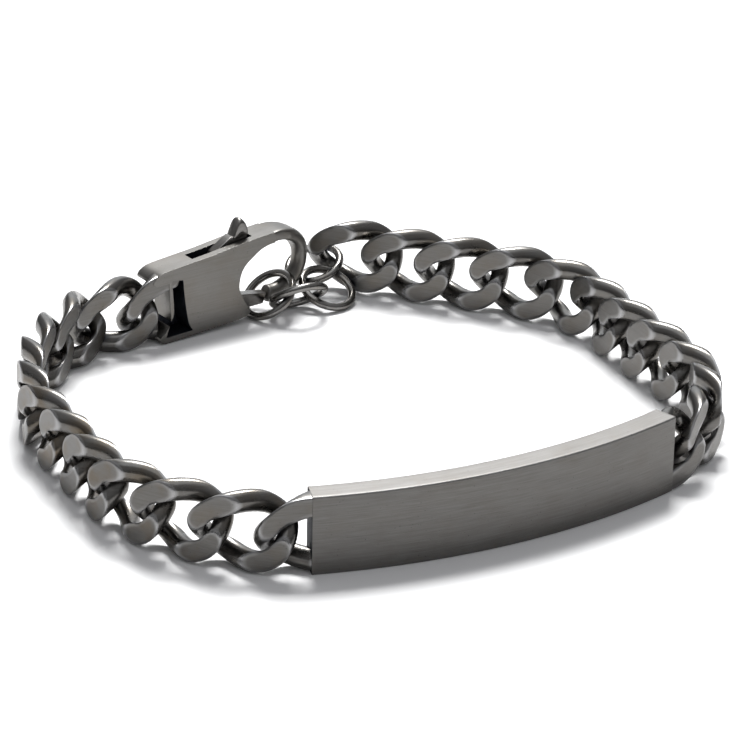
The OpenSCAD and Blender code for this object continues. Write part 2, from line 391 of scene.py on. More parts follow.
def wire_curves():
    """Middle lines of every link, half link and ring, each with the radius of its wire, in the
    model's frame. Recesses are measured from them."""
    t = np.linspace(0, 2 * np.pi, 97)[:-1]
    curves = {}
    for side in SIDES:
        for k in range(LINKS_PER_SIDE):
            name = f"link_{side}_{k + 1:02d}"
            centre, axes = node_axes(name)
            curves[name] = (centre + wire_middle(t) @ axes.T, link().wire)
    for k in range(RINGS):
        name = f"jump_ring_{k + 1}"
        centre, axes = node_axes(name)
        circle = ring().radius * np.stack([np.cos(t), np.sin(t), 0 * t], axis=-1)
        curves[name] = (centre + circle @ axes.T, ring().wire)
    half = np.linspace(np.pi / 2, 1.5 * np.pi, 49)
    for side, sign in zip(SIDES, (-1, 1)):
        centre, axes = plate_end(sign)
        middle = wire_middle(half + (sign > 0) * np.pi)
        curves[f"plate_{side}"] = (centre + middle @ axes.T, link().wire)
    centre, axes = clasp_axes()
    curves["clasp"] = (centre + (TAIL_PLACE + wire_middle(half)) @ axes.T, link().wire)
    return curves


def recess_mask(points, own):
    """How closely a surface is faced by other wires: 1 where they touch, falling to 0 over the
    recess's reach, where it lays painted shade. own names the curves that belong to the surface itself."""
    flat = points.reshape(-1, 3)
    low, high = flat.min(axis=0) - MM, flat.max(axis=0) + MM
    nearest = np.full(len(flat), 1.0)
    for name, (curve, radius) in wire_curves().items():
        near = curve[np.all((curve > low - radius) & (curve < high + radius), axis=1)]
        if name in own or not len(near):
            continue
        gaps = np.linalg.norm(flat[:, None] - near[None], axis=-1).min(axis=1) - radius
        nearest = np.minimum(nearest, gaps)
    mask = np.clip(1 - nearest / RECESS_REACH, 0, 1)
    return (mask * mask * (3 - 2 * mask)).reshape(points.shape[:2])


def shoulder(t, start):
    """How much fuller to the front a half link is: most at its start, nothing after the turn."""
    return SHOULDER * np.clip(1 - (t - start) / SHOULDER_TURN, 0, 1)


def add_wire(shell, t, closed, centre, axes, own, shift, stain, fuller=0.0):
    """Adds a link's wire over the angles t, moved to its place, with its map in the link's own
    plane, moved by shift so that no two links show the same marks."""
    points, ground, edge = wire_surface(t, fuller)
    placed = centre + points @ axes.T
    # Recess lays painted shade near other wires and edge a painted highlight on the creases.
    masks = np.stack([ground, recess_mask(placed, own), edge, np.full_like(ground, stain)], axis=-1)
    shell.add(placed, points[..., :2] / MM + shift, masks, closed)


def link_stain(side, k):
    """How stained a link is: most at the back of the left side, and a little elsewhere."""
    return 0.35 + 0.65 * math.exp(-((k - 5) / 3) ** 2) if side == "left" else 0.25


class BRACELET_OT_links(bpy.types.Operator):
    """Build the twenty-two curb links"""
    bl_idname = "bracelet.links"
    bl_label = "Curb links"

    def execute(self, context):
        t = np.linspace(0, 2 * np.pi, link().along + 1)[:-1]
        steel = link_steel()
        for side in SIDES:
            for k in range(LINKS_PER_SIDE):
                node = f"link_{side}_{k + 1:02d}"
                centre, axes = node_axes(node)
                shell = Shell()
                shift = np.array([17.3 * k, 31.7 * (side == "left")])
                add_wire(shell, t, True, centre, axes, (node,), shift, link_stain(side, k))
                name = f"curb_{side}_{k + 1:02d}"
                piece = place_piece(name, shell.mesh(node), "bracelet", "band_steel", node)
                piece.data.materials.append(steel)
        return {"FINISHED"}


# Rounding of the plate's ends
PLATE_RIM = 0.06 * MM


def plate_end(sign):
    """Origin and axes of the half link on one end of the plate: its X is the plate's direction
    there, its Y is up and its Z points out of the loop."""
    s = plate()
    radius = s.length / 2 / s.half_angle
    turn = sign * s.half_angle
    place = [radius * math.sin(turn), radius * (1 - math.cos(turn)), s.height / 2]
    along = np.array([math.cos(turn), math.sin(turn), 0])
    up = np.array([0, 0, 1.0])
    return plate_origin() + place, np.stack([along, up, np.cross(along, up)], axis=1)


def rounded_section(half_width, half_height, radius, inset):
    """Closed outline of a bar: a rectangle with round corners, drawn in by inset. Columns run
    from corner to corner, each corner an arc of seven points and each side five points."""
    corner = np.linspace(0, np.pi / 2, 7)
    columns = []
    for quarter, (sx, sy) in enumerate(((1, 1), (-1, 1), (-1, -1), (1, -1))):
        angle = corner + quarter * np.pi / 2
        reach = np.maximum(radius - inset, 0.02 * MM)
        x = sx * (half_width - radius) + reach * np.cos(angle)
        y = sy * (half_height - radius) + reach * np.sin(angle)
        columns.append(np.stack([x, y], axis=-1))
    outline = []
    for k in range(4):
        first, second = columns[k][-1], columns[(k + 1) % 4][0]
        between = first + (second - first) * np.linspace(0, 1, 7)[1:-1, None]
        outline += [columns[k], between]
    return np.vstack(outline)


def plate_bar(shell):
    """The plate: a rounded section carried along an arc, drawn in over a quarter circle at each
    end. The map's first number runs along the plate and its second round the section."""
    s = plate()
    radius, half = s.length / 2 / s.half_angle, s.length / 2
    quarter = np.linspace(0, np.pi / 2, 6)
    ends = half - PLATE_RIM * (1 - np.cos(quarter))
    inner = np.linspace(-half + PLATE_RIM, half - PLATE_RIM, 121)[1:-1]
    along = np.hstack([-ends, inner, ends[::-1]])
    draw = PLATE_RIM * (1 - np.sin(quarter))
    inset = np.hstack([draw, 0 * inner, draw[::-1]])
    sections = np.stack([rounded_section(s.thickness / 2, s.height / 2, s.edge, d) for d in inset])
    phi = along / radius
    out = radius + sections[..., 0]
    origin = plate_origin()
    points = np.stack([
        origin[0] + out * np.sin(phi)[:, None],
        origin[1] + radius - out * np.cos(phi)[:, None],
        s.height / 2 + sections[..., 1]], axis=-1)
    across = sections[..., 1] + 0.7 * sections[..., 0]
    flat = np.stack([np.broadcast_to(along[:, None], out.shape), across], axis=-1)
    # The edge mask lays a painted highlight along the rounded long edges, and the recess mask lays
    # painted shade on the drawn-in ends.
    reach = np.maximum(np.abs(sections[..., 0]) - s.thickness / 2 + s.edge, 0)
    rise = np.maximum(np.abs(sections[..., 1]) - s.height / 2 + s.edge, 0)
    edge = np.clip(4 * reach * rise / s.edge ** 2, 0, 1)
    recess = np.broadcast_to((inset[:, None] / PLATE_RIM) ** 2, out.shape)
    edge = 0.25 * edge * (1 - recess)
    masks = np.stack([np.ones_like(out), recess, edge, np.full_like(out, 0.1)], axis=-1)
    shell.add(points, flat / MM, masks, False)


class BRACELET_OT_plate(bpy.types.Operator):
    """Build the name plate with half a link on each end"""
    bl_idname = "bracelet.plate"
    bl_label = "Name plate"

    def execute(self, context):
        bar, loops = Shell(), Shell()
        plate_bar(bar)
        for side, sign in zip(SIDES, (-1, 1)):
            start = -sign * math.pi / 2
            t = np.linspace(start - SOLDER_TURN, start + math.pi + SOLDER_TURN, HALF_STEPS)
            centre, axes = plate_end(sign)
            shift = np.array([211.0, 47.0 * sign])
            own = (f"plate_{side}",)
            add_wire(loops, t, False, centre, axes, own, shift, 0.2, shoulder(t, start))
        for name, shell, steel in (("name_plate", bar, plate_steel()),
                                   ("name_plate_loops", loops, link_steel())):
            piece = place_piece(name, shell.mesh(name), "bracelet", "band_steel", "id_plate")
            piece.data.materials.append(steel)
        return {"FINISHED"}


# Places and sizes in the clasp's frame, and angles in degrees
PIVOT = np.array([8.0, -0.4]) * MM
HOOK_CENTRE = np.array([14.9, 0.9]) * MM
HOOK_RADIUS = 3.8 * MM
HOOK_CROWN = 3.2 * MM
EYE_RADIUS = 1.45 * MM
EYE_START, EYE_END = 215, 262
GATE_REACH = 6.2 * MM
GATE_START, GATE_END = -31, -19.5
SLOT_DEPTH = 2.5 * MM
LEVER_PLAY = 0.1 * MM
LEVER_BEVEL = 0.1 * MM
TAB_FOOT = np.array([11.0, 4.95]) * MM
TAIL_PLACE = np.array([0.8, 0, 0.3]) * MM
TAIL_START, TAIL_END = 86, 264
CLASP_TURN = math.radians(7)

# The hook from the body's top round to its tip. Each table gives angles in degrees, then the
# half width in mm, the half depth in mm, and the power of the section, which is round at 1.
HOOK_START, DOME_START, FINE_START, HOOK_END = 100, -99, -100, -106
DOME_TURN = 7.2
HOOK_WIDTH = (-108, -60, 0, 60, 90), (0.95, 0.85, 0.85, 0.7, 0.6)
HOOK_DEPTH = (-108, 0, 30, 60, 90), (0.95, 0.85, 1.15, 1.5, 1.59)
HOOK_POWER = (0, 30, 60, 90), (1.0, 0.8, 0.45, 0.25)


def arc(centre, radius, start, end, count):
    """Points of an arc between two angles in degrees."""
    a = np.radians(np.linspace(start, end, count))
    return centre + radius * np.stack([np.cos(a), np.sin(a)], axis=-1)


def smooth_line(points, count):
    """A curve through the given points: a Catmull-Rom cubic between each pair, count points to
    each, without the last point."""
    p = np.asarray(points, float)
    padded = np.vstack([2 * p[0] - p[1], p, 2 * p[-1] - p[-2]])
    u = (np.arange(count) / count)[:, None]
    before, a, b, after = (padded[k:len(padded) - 3 + k, None] for k in range(4))
    curve = 0.5 * (2 * a + (b - before) * u + (2 * before - 5 * a + 4 * b - after) * u ** 2
                   + (3 * a - before - 3 * b + after) * u ** 3)
    return curve.reshape(-1, p.shape[1])


def body_outline():
    """Outline of the clasp's body: its lower edge, the mouth's edge up to the crown, and the upper
    edge with the strap that carries on into the tail."""
    lip = smooth_line(np.array([
        [1.1, -1.88], [0.3, -2.7], [-0.35, -3.2], [-0.3, -3.7], [0.2, -3.97]]) * MM, 4)
    lower = np.array([[0.2, -3.97], [5.0, -3.98], [9.6, -3.98], [10.6, -3.85]]) * MM
    mouth = smooth_line(np.array([
        [11.1, -3.58], [10.3, -1.9], [9.85, -0.6], [9.95, 0.5], [10.35, 1.45], [10.95, 2.1],
        [11.8, 2.65], [12.8, 3.2], [13.8, 3.45], [14.7, 3.5]]) * MM, 4)
    upper = smooth_line(np.array([
        [14.7, 4.69], [12.2, 4.65], [9.3, 4.5], [6.2, 4.3], [2.7, 4.2], [0.6, 4.1], [-0.4, 3.75],
        [-0.8, 3.2], [-0.4, 2.75]]) * MM, 4)
    return np.vstack([lip, lower, mouth, [np.array([14.7, 3.5]) * MM], upper,
                      [np.array([-0.4, 2.75]) * MM, np.array([1.1, 2.75]) * MM]])


def lever_space():
    """Outline of the channel for the lever, open above the body and into the mouth."""
    return np.array([
        [4.5, 8], [4.7, 3.2], [6.1, 0.6], [6.1, -1.6], [7.4, -2.45], [10.6, -3.75], [12, -3.95],
        [12, 0.4], [10.2, 0.6], [10.3, 2.1], [11.2, 3.0], [12.3, 4.3], [12.3, 8]]) * MM


def face_slot():
    """Outline of the dark slot in the inner face, flared towards its lower end."""
    right = smooth_line(np.array([[2.85, 2.62], [2.95, 0.1], [3.2, -2.3], [3.65, -3.4]]) * MM, 4)
    left = smooth_line(np.array([[0.35, -3.3], [1.1, -1.6], [1.5, -0.6], [1.5, 2.9]]) * MM, 4)
    return np.vstack([right, [np.array([3.65, -3.4]) * MM], left, [np.array([1.5, 2.9]) * MM]])


def prism(name, outline, low, high, axes, origin, steel):
    """Object made by carrying a flat outline from one height to another along the clasp's Z."""
    n = len(outline)
    rows = [np.hstack([outline, np.full((n, 1), z)]) for z in (low, high)]
    places = origin + np.vstack(rows) @ axes.T
    j = np.arange(n)
    k = (j + 1) % n
    faces = np.stack([j, k, n + k, n + j], axis=1).tolist() + [j[::-1].tolist(), (n + j).tolist()]
    following = np.roll(outline, -1, axis=0)
    if np.sum(outline[:, 0] * following[:, 1] - outline[:, 1] * following[:, 0]) < 0:
        faces = [face[::-1] for face in faces]
    mesh = bpy.data.meshes.new(name)
    mesh.from_pydata(places.tolist(), [], faces, shade_flat=False)
    mesh.materials.append(steel)
    solid = bpy.data.objects.new(name, mesh)
    bpy.context.scene.collection.objects.link(solid)
    return solid


def cut(solid, cutters):
    """Takes each cutter out of a solid, lining the cuts with the cutter's material, and removes
    the cutters."""
    for cutter in cutters:
        step = solid.modifiers.new("cut", "BOOLEAN")
        step.operation, step.solver, step.object = "DIFFERENCE", "EXACT", cutter
        step.material_mode = "TRANSFER"
    seen = solid.evaluated_get(bpy.context.evaluated_depsgraph_get())
    shape = bpy.data.meshes.new_from_object(seen)
    solid.modifiers.clear()
    solid.data = shape
    for cutter in cutters:
        bpy.data.objects.remove(cutter)
    return solid


def hook_frames(angle):
    """Places and outward directions of the hook's middle line at angles in degrees: a circle
    below its centre, and above it an ellipse as high as the crown."""
    a = np.radians(angle)
    height = np.where(a > 0, HOOK_CROWN, HOOK_RADIUS)
    radii = np.stack([np.full_like(a, HOOK_RADIUS), height], axis=-1)
    turned = np.stack([np.cos(a), np.sin(a)], axis=-1)
    out = turned / radii
    return HOOK_CENTRE + radii * turned, out / np.linalg.norm(out, axis=-1, keepdims=True)


def hook_surface():
    """The hook: a section carried round from the body's top to the tip. The section is a
    superellipse whose width, depth and squareness pass from a slab at the crown to a round bar
    at the side, and a dome closes the tip."""
    angle = np.hstack([
        np.linspace(HOOK_START, FINE_START, 110), np.linspace(FINE_START, HOOK_END, 10)[1:]])
    width = np.interp(angle, *HOOK_WIDTH) * MM
    depth = np.interp(angle, *HOOK_DEPTH) * MM
    power = np.interp(angle, *HOOK_POWER)
    dome = np.sqrt(np.clip(1 - np.clip((DOME_START - angle) / DOME_TURN, 0, 1) ** 2, 0.04, 1))
    s = np.linspace(0, 2 * np.pi, 49)[:-1]
    cosine, sine = np.cos(s), np.sin(s)
    x = np.sign(cosine) * np.abs(cosine) ** power[:, None] * (width * dome)[:, None]
    z = np.sign(sine) * np.abs(sine) ** power[:, None] * (depth * dome)[:, None]
    middle, out = hook_frames(angle)
    flat = middle[:, None] + x[..., None] * out[:, None]
    return np.concatenate([flat, z[..., None]], axis=-1)


def add_plain(shell, surface, origin, axes):
    """Adds a surface given in the clasp's frame, without marks."""
    masks = np.zeros((*surface.shape[:2], len(MASKS)))
    shell.add(origin + surface @ axes.T, surface[..., :2] / MM, masks, False)


def bevel(piece, width, segments, angle):
    """Rounds the edges sharper than angle."""
    step = piece.modifiers.new("edges", "BEVEL")
    step.width, step.segments = width, segments
    step.limit_method, step.angle_limit = "ANGLE", math.radians(angle)
    step.harden_normals = True
    step.use_clamp_overlap = True


class BRACELET_OT_clasp(bpy.types.Operator):
    """Build the clasp's body with its hook and tail"""
    bl_idname = "bracelet.clasp"
    bl_label = "Clasp body"

    def execute(self, context):
        s = clasp()
        origin, axes = clasp_axes()
        half, gap = s.thickness / 2, s.lever / 2 + LEVER_PLAY
        steel, dark = clasp_steel(), painted_shade_steel()
        solid = prism("clasp_shape", body_outline(), -half, half, axes, origin, steel)
        # The walls of the channel and the slot are lined with the near-black painted shade.
        cut(solid, [
            prism("channel", lever_space(), -gap, gap, axes, origin, dark),
            prism("slot", face_slot(), half - SLOT_DEPTH, half + MM, axes, origin, dark)])
        mesh = solid.data
        bpy.data.objects.remove(solid)
        body = place_piece("clasp_shape", mesh, "bracelet", "band_steel", "clasp_body")
        bevel(body, s.bevel, 3, 40)

        hook, tail = Shell(), Shell()
        add_plain(hook, hook_surface(), origin, axes)
        t = np.radians(np.linspace(TAIL_START, TAIL_END, HALF_STEPS))
        shift = np.array([71.0, 13.0])
        add_wire(tail, t, False, origin + axes @ TAIL_PLACE, axes, ("clasp",), shift, 0.2,
                 shoulder(t, math.pi / 2))
        for name, shell, metal in (("clasp_hook", hook, steel), ("clasp_tail", tail, link_steel())):
            piece = place_piece(name, shell.mesh(name), "bracelet", "band_steel", "clasp_body")
            piece.data.materials.append(metal)
        return {"FINISHED"}


def lever_blade():
    """Outline of the lever between the walls: eye, gate and the arm up to the tab."""
    eye = arc(PIVOT, EYE_RADIUS, EYE_START, EYE_END, 8)
    gate = np.array([[8.2, -1.84], [10.9, -3.45]]) * MM
    tip = arc(PIVOT, GATE_REACH, GATE_START, GATE_END, 6)
    arm = np.array([[10.6, -1.75], [9.5, -0.5], [9.6, 1.8], [10.6, 2.8], [11.7, 4.2], [11.8, 5.2],
                    [9.7, 5.2], [8.6, 4.6], [7.5, 4.0], [7.1, 3.3], [6.65, 0.2]]) * MM
    return np.vstack([eye, gate, tip, arm])


def thumb_tab():
    """Outline of the thumb tab: a rounded tooth that stands above the clasp."""
    side = np.array([
        [11.95, 4.95], [12.0, 5.6], [11.75, 6.4], [11.2, 6.88], [10.75, 6.65], [10.3, 5.9],
        [9.8, 4.9]]) * MM
    return np.vstack([smooth_line(side, 4), [side[-1]]])


def tab_surface():
    """The thumb tab as a pillow: its outline, drawn in towards the middle of its foot as the
    quarter circle falls, from the middle of its thickness to each face."""
    turn = np.linspace(-np.pi / 2, np.pi / 2, 25)[:, None]
    drawn = 0.72 + 0.28 * np.cos(turn) ** 0.7
    flat = TAB_FOOT + (thumb_tab() - TAB_FOOT) * drawn[..., None]
    z = np.broadcast_to(clasp().tab / 2 * np.sin(turn), flat.shape[:2])
    return np.concatenate([flat, z[..., None]], axis=-1)


class BRACELET_OT_lever(bpy.types.Operator):
    """Build the clasp's lever with its gate and thumb tab"""
    bl_idname = "bracelet.lever"
    bl_label = "Clasp lever"

    def execute(self, context):
        s = clasp()
        origin, axes = clasp_axes()
        steel = lever_steel()
        solid = prism("lever_blade", lever_blade(), -s.lever / 2, s.lever / 2, axes, origin, steel)
        mesh = solid.data
        bpy.data.objects.remove(solid)
        blade = place_piece("lever_blade", mesh, "lever", "band_steel", "clasp_lever")
        bevel(blade, LEVER_BEVEL, 4, 30)
        tab = Shell()
        add_plain(tab, tab_surface(), origin, axes)
        piece = place_piece("thumb_tab", tab.mesh("thumb_tab"), "lever", "band_steel", "clasp_lever")
        piece.data.materials.append(steel)
        return {"FINISHED"}


class BRACELET_OT_rings(bpy.types.Operator):
    """Build the four wire rings"""
    bl_idname = "bracelet.rings"
    bl_label = "Wire rings"

    def execute(self, context):
        s = ring()
        t = np.linspace(0, 2 * np.pi, 97)[:-1][:, None]
        a = np.linspace(0, 2 * np.pi, 25)[:-1][None, :]
        reach = s.radius + s.wire * np.cos(a)
        surface = np.stack(np.broadcast_arrays(
            reach * np.cos(t), reach * np.sin(t), s.wire * np.sin(a)), axis=-1)
        plain = np.zeros(surface.shape[:2])
        steel = ring_steel()
        for k in range(RINGS):
            node = f"jump_ring_{k + 1}"
            centre, axes = node_axes(node)
            placed = centre + surface @ axes.T
            # Painted shade where other wires come close.
            recess = recess_mask(placed, (node,))
            masks = np.stack([plain, recess, plain, plain + 0.5], axis=-1)
            shell = Shell()
            shell.add(placed, surface[..., :2] / MM + 40 * k, masks, True)
            piece = place_piece(f"wire_ring_{k + 1}", shell.mesh(node), "bracelet", "ring_steel", node)
            piece.data.materials.append(steel)
        return {"FINISHED"}


def node_group(name, inputs, outputs):
    """A new shader node group with named sockets. inputs and outputs are (name, kind, default)."""
    group = bpy.data.node_groups.new(name, "ShaderNodeTree")
    for direction, sockets in (("INPUT", inputs), ("OUTPUT", outputs)):
        for label, kind, default in sockets:
            socket = group.interface.new_socket(
                label, in_out=direction, socket_type=f"NodeSocket{kind}")
            if default is not None:
                socket.default_value = default
    return group, group.nodes.new("NodeGroupInput"), group.nodes.new("NodeGroupOutput")


def join(tree, value, socket):
    """Links a node's output to an input, or sets the input to a plain value."""
    if isinstance(value, bpy.types.NodeSocket):
        tree.links.new(value, socket)
    else:
        socket.default_value = value


def feed(tree, node, **sockets):
    """Sets or links inputs of a node by their labels, with spaces written as underscores."""
    for label, value in sockets.items():
        label = label.replace("_", " ")
        join(tree, value, next(s for s in node.inputs if s.name == label and s.enabled))
    return node


def calc(tree, operation, first, second=0.0, clamp=False):
    """Output of a Math node for two numbers or sockets."""
    node = tree.nodes.new("ShaderNodeMath")
    node.operation, node.use_clamp = operation, clamp
    join(tree, first, node.inputs[0])
    join(tree, second, node.inputs[1])
    return node.outputs[0]


def mix_colour(tree, share, first, second):
    """Output of a colour mix for a share and two colours."""
    node = tree.nodes.new("ShaderNodeMix")
    node.data_type, node.clamp_factor = "RGBA", True
    for value, k in ((share, 0), (first, 6), (second, 7)):
        join(tree, value, node.inputs[k])
    return node.outputs[2]


def noise(tree, vector, scale, detail, roughness=0.55):
    """Output of a 3D noise on a vector in millimetres, scaled along each axis."""
    mapping = tree.nodes.new("ShaderNodeMapping")
    tree.links.new(vector, mapping.inputs["Vector"])
    mapping.inputs["Scale"].default_value = scale
    texture = tree.nodes.new("ShaderNodeTexNoise")
    tree.links.new(mapping.outputs[0], texture.inputs["Vector"])
    texture.inputs["Scale"].default_value = 1.0
    texture.inputs["Detail"].default_value = detail
    texture.inputs["Roughness"].default_value = roughness
    return texture.outputs[0]


def brushing_group():
    """Fine lines along the vector's first axis: two noises drawn out lengthwise, of different
    width, as a height, and a broad noise as a tone."""
    group, source, result = node_group(
        "Brushing", [("Vector", "Vector", None), ("Fineness", "Float", 1.0)],
        [("Height", "Float", None), ("Lines", "Float", None), ("Tone", "Float", None)])
    scaled = group.nodes.new("ShaderNodeVectorMath")
    scaled.operation = "SCALE"
    group.links.new(source.outputs["Vector"], scaled.inputs[0])
    group.links.new(source.outputs["Fineness"], scaled.inputs["Scale"])
    fine = noise(group, scaled.outputs[0], (0.35, 16, 16), 3)
    broad = noise(group, scaled.outputs[0], (0.12, 4.2, 4.2), 2)
    both = calc(group, "ADD", calc(group, "MULTIPLY", fine, 0.6),
                calc(group, "MULTIPLY", broad, 0.4))
    lines = calc(group, "MULTIPLY", calc(group, "SUBTRACT", both, 0.36), 3.4, True)
    tone = noise(group, source.outputs["Vector"], (0.16, 0.4, 0.4), 3)
    feed(group, result, Height=both, Lines=lines, Tone=tone)
    return group


def pits_group():
    """Scattered tiny pits: a cell pattern's distance below a small size, kept only where a coarse
    noise is high, as a mask that is 1 in a pit."""
    group, source, result = node_group(
        "Pits", [("Vector", "Vector", None), ("Density", "Float", 2.2), ("Size", "Float", 0.16)],
        [("Mask", "Float", None)])
    cells = group.nodes.new("ShaderNodeTexVoronoi")
    group.links.new(source.outputs["Vector"], cells.inputs["Vector"])
    group.links.new(source.outputs["Density"], cells.inputs["Scale"])
    cells.inputs["Randomness"].default_value = 1.0
    share = calc(group, "DIVIDE", cells.outputs["Distance"], source.outputs["Size"])
    inside = calc(group, "SUBTRACT", 1.0, share, True)
    coarse = noise(group, source.outputs["Vector"], (0.5, 0.5, 0.5), 2)
    where = calc(group, "MULTIPLY", calc(group, "SUBTRACT", coarse, 0.47), 9.0, True)
    feed(group, result, Mask=calc(group, "MULTIPLY", inside, where, True))
    return group


def wear_and_painted_light_group():
    """Colour and roughness of darkened steel: broad tone variation, brown stains in patches,
    a painted highlight on edges, and painted shade in recesses together with dark pits, mixed in that
    order."""
    group, source, result = node_group(
        "Worn steel and painted light",
        [("Vector", "Vector", None), ("Steel", "Color", (0.2, 0.2, 0.2, 1)),
         ("Bright", "Color", (0.5, 0.5, 0.5, 1)), ("Shade", "Color", (0.01, 0.01, 0.02, 1)),
         ("Stain", "Color", (0.2, 0.16, 0.13, 1)), ("Tone", "Float", 0.5), ("Lines", "Float", 0.5),
         ("Edge", "Float", 0.0), ("Recess", "Float", 0.0), ("Pits", "Float", 0.0),
         ("Stained", "Float", 0.2), ("Base roughness", "Float", 0.35), ("Variation", "Float", 0.3)],
        [("Color", "Color", None), ("Roughness", "Float", None)])
    get = source.outputs
    marks = calc(group, "ADD", get["Tone"], get["Lines"])
    light = mix_colour(
        group, calc(group, "MULTIPLY", marks, get["Variation"]), get["Steel"], get["Bright"])
    cloud = noise(group, get["Vector"], (0.35, 0.35, 0.35), 4)
    patches = calc(group, "MULTIPLY", calc(group, "SUBTRACT", cloud, 0.46), 5.0, True)
    stained = mix_colour(
        group, calc(group, "MULTIPLY", patches, get["Stained"], True), light, get["Stain"])
    # Painted highlight: edges mixed towards the bright steel.
    painted_highlight = mix_colour(group, calc(group, "MULTIPLY", get["Edge"], 0.75), stained, get["Bright"])
    # Painted shade in recesses, together with the dark of the pits, mixed towards the shade colour.
    pitted = calc(group, "MULTIPLY", get["Pits"], 0.55)
    dark = calc(group, "MAXIMUM", get["Recess"], pitted, True)
    colour = mix_colour(group, dark, painted_highlight, get["Shade"])
    uneven = calc(group, "MULTIPLY", calc(group, "SUBTRACT", get["Tone"], 0.5), 0.16)
    rough = calc(group, "ADD", get["Base roughness"], uneven)
    rough = calc(group, "ADD", rough, calc(group, "MULTIPLY", dark, 0.15), True)
    feed(group, result, Color=colour, Roughness=rough)
    return group


def group_node(tree, name, build, **sockets):
    """A node group placed in a material with its own values. It is built the first time that it
    is asked for, and shared from then on."""
    node = tree.nodes.new("ShaderNodeGroup")
    node.node_tree = bpy.data.node_groups.get(name) or build()
    return feed(tree, node, **sockets)


def new_material(name):
    """A new material with its node tree and its Principled BSDF."""
    material = bpy.data.materials.new(name)
    material.use_nodes = True
    return material, material.node_tree, material.node_tree.nodes["Principled BSDF"]


def object_place(tree, turn=0.0):
    """The object's own coordinates in millimetres, turned about Z."""
    coordinates = tree.nodes.new("ShaderNodeTexCoord")
    mapping = tree.nodes.new("ShaderNodeMapping")
    tree.links.new(coordinates.outputs["Object"], mapping.inputs["Vector"])
    mapping.inputs["Rotation"].default_value = (0, 0, turn)
    mapping.inputs["Scale"].default_value = (1 / MM,) * 3
    return mapping.outputs[0]


def rgba(colour):
    return (*colour, 1.0)


def steel_material(name, mapped, bump, roughness, variation, fineness=1.0, flanks=0.0, tint=None,
                   turn=0.0, pits=0.16):
    """A darkened steel. mapped says that the piece carries a map and masks; otherwise the marks
    follow the object's own coordinates, turned to run along the clasp. flanks is what a wire's
    round flanks add to the roughness of its ground faces, below 0 where they are smoother."""
    s = finish()
    material, tree, shader = new_material(name)
    shader.inputs["Metallic"].default_value = 1.0
    if mapped:
        vector = tree.nodes.new("ShaderNodeTexCoord").outputs["UV"]
        masks = {}
        for label in MASKS:
            attribute = tree.nodes.new("ShaderNodeAttribute")
            attribute.attribute_name = label
            masks[label] = attribute.outputs["Fac"]
    else:
        vector = object_place(tree, turn)
        masks = {"ground": 1.0, "recess": 0.0, "edge": 0.0, "stain": 0.2}
    brushing = group_node(tree, "Brushing", brushing_group, Vector=vector, Fineness=fineness)
    holes = group_node(tree, "Pits", pits_group, Vector=vector, Size=pits)
    if mapped:
        ground = calc(tree, "MULTIPLY", masks["ground"], flanks)
        base = calc(tree, "SUBTRACT", roughness + flanks, ground)
    else:
        base = roughness
    # Edge carries the painted highlight and recess the painted shade.
    wear_and_painted_light = group_node(
        tree, "Worn steel and painted light", wear_and_painted_light_group, Vector=vector, Steel=rgba(tint or s.steel),
        Bright=rgba(s.bright), Shade=rgba(s.shade), Stain=rgba(s.stain),
        Tone=brushing.outputs["Tone"], Lines=brushing.outputs["Lines"], Edge=masks["edge"],
        Recess=masks["recess"], Pits=holes.outputs["Mask"], Stained=masks["stain"],
        Base_roughness=base, Variation=variation)
    height = calc(tree, "MULTIPLY", brushing.outputs["Height"], masks["ground"])
    sunk = calc(tree, "MULTIPLY", holes.outputs["Mask"], 0.8)
    height = calc(tree, "SUBTRACT", height, sunk)
    relief = tree.nodes.new("ShaderNodeBump")
    relief.inputs["Strength"].default_value = bump
    relief.inputs["Distance"].default_value = 0.05 * MM
    tree.links.new(height, relief.inputs["Height"])
    tree.links.new(relief.outputs[0], shader.inputs["Normal"])
    tree.links.new(wear_and_painted_light.outputs["Color"], shader.inputs["Base Color"])
    tree.links.new(wear_and_painted_light.outputs["Roughness"], shader.inputs["Roughness"])
    return material


def plate_steel():
    return steel_material("Brushed plate", True, bump=0.4, roughness=0.5, variation=0.16)


def link_steel():
    found = bpy.data.materials.get("Ground links")
    return found or steel_material(
        "Ground links", True, bump=0.3, roughness=0.36, variation=0.12, fineness=1.3, flanks=-0.08,
        tint=finish().link)


def clasp_steel():
    return steel_material("Clasp steel", False, bump=0.12, roughness=0.38, variation=0.09,
                          turn=-CLASP_TURN)


def lever_steel():
    return steel_material("Lever steel", False, bump=0.12, roughness=0.3, variation=0.2,
                          tint=finish().ring)


def ring_steel():
    return steel_material("Ring steel", True, bump=0.1, roughness=0.24, variation=0.2,
                          tint=finish().ring, pits=0.08)


def painted_shade_steel():
    """Painted shade: near-black steel lining the walls of the slot and the channel."""
    material, tree, shader = new_material("Painted shade recess")
    shader.inputs["Metallic"].default_value = 0.7
    shader.inputs["Roughness"].default_value = 0.45
    patches = noise(tree, object_place(tree), (1.4, 1.4, 1.4), 3)
    colour = mix_colour(tree, patches, rgba(finish().shade), (0.03, 0.034, 0.045, 1))
    tree.links.new(colour, shader.inputs["Base Color"])
    return material


FLOOR_REACH = 1.4
KEY_PLACE = (0.14, 0.26, 0.52)
PANEL_PLACE = (0.316, 0.556, 0.284)
CANOPY_PLACE = (-0.12, -0.05, 0.6)
COOL = (0.92, 0.96, 1.0)


def aim(thing, place, target):
    """Places an object and turns its -Z to look at a target."""
    thing.location = place
    thing.rotation_euler = (Vector(target) - Vector(place)).to_track_quat("-Z", "Y").to_euler()


def soft_light(name, power, size, place, colour=(1, 1, 1)):
    """A square area light that looks at the bracelet's middle."""
    data = bpy.data.lights.new(name, "AREA")
    data.energy, data.size, data.color = power, size, colour
    light = bpy.data.objects.new(name, data)
    bpy.context.scene.collection.objects.link(light)
    aim(light, place, (0, 0, 0.004))
    return light


